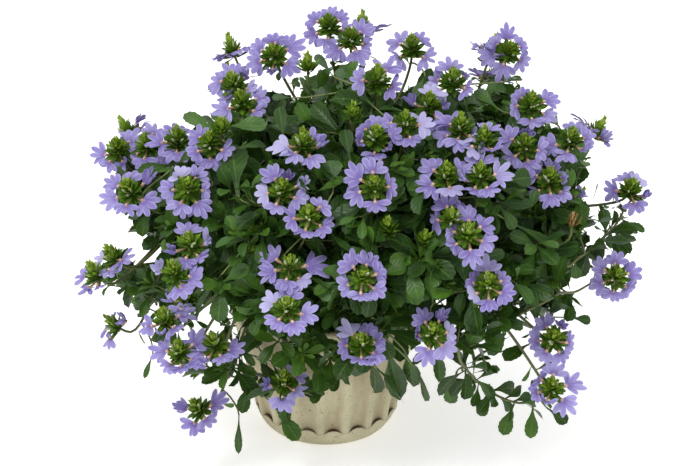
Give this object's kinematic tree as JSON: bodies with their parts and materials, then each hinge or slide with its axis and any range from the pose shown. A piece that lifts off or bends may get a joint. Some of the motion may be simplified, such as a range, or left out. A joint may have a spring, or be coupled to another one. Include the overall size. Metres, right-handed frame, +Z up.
{
  "type": "potted blue angel fan flower",
  "caption": "Mounded fan flower with fan-shaped lavender blooms and toothed green leaves, rooted in soil in a fluted stone bowl.",
  "frame": {"origin": "middle of the pot's flat base, on the surface that it stands on", "axes": "+Z up, front of the plant towards -Y, +X to the right seen from the front"},
  "size_m": [0.4949, 0.4168, 0.3683],
  "materials": {
    "stone": "pale beige cast stone, matte and finely speckled",
    "soil": "dark crumbly potting mix, matte",
    "foliage": "soft green leaves and stems, lightly satin",
    "petal": "lavender petals, soft matte"
  },
  "bodies": {
    "root": {"pot": "stone", "soil": "soil", "leafy_stem_1": "foliage", "leafy_stem_2": "foliage", "leafy_stem_3": "foliage", "leafy_stem_4": "foliage", "leafy_stem_5": "foliage", "leafy_stem_6": "foliage", "leafy_stem_7": "foliage", "bloom_01": "petal", "bloom_02": "petal", "bloom_03": "petal", "bloom_04": "petal", "bloom_05": "petal", "bloom_06": "petal", "bloom_07": "petal", "bloom_08": "petal", "bloom_09": "petal", "bloom_10": "petal", "bloom_11": "petal", "bloom_12": "petal", "bloom_13": "petal", "bloom_14": "petal", "bloom_15": "petal", "bloom_16": "petal", "bloom_17": "petal", "bloom_18": "petal", "bloom_19": "petal", "bloom_20": "petal", "bloom_21": "petal", "bloom_22": "petal", "bloom_23": "petal", "bloom_24": "petal", "bloom_25": "petal", "bloom_26": "petal", "bloom_27": "petal", "bloom_28": "petal", "bloom_29": "petal", "bloom_30": "petal", "bloom_31": "petal", "bloom_32": "petal", "bloom_33": "petal", "bloom_34": "petal", "bloom_35": "petal", "bloom_36": "petal", "bloom_37": "petal", "bloom_38": "petal", "bloom_39": "petal", "bloom_40": "petal", "bloom_41": "petal", "bloom_42": "petal", "bloom_43": "petal", "bloom_44": "petal", "bloom_45": "petal", "bloom_46": "petal", "bloom_47": "petal", "bloom_48": "petal", "bloom_49": "petal", "bloom_50": "petal", "bloom_51": "petal"}
  },
  "joints": []
}
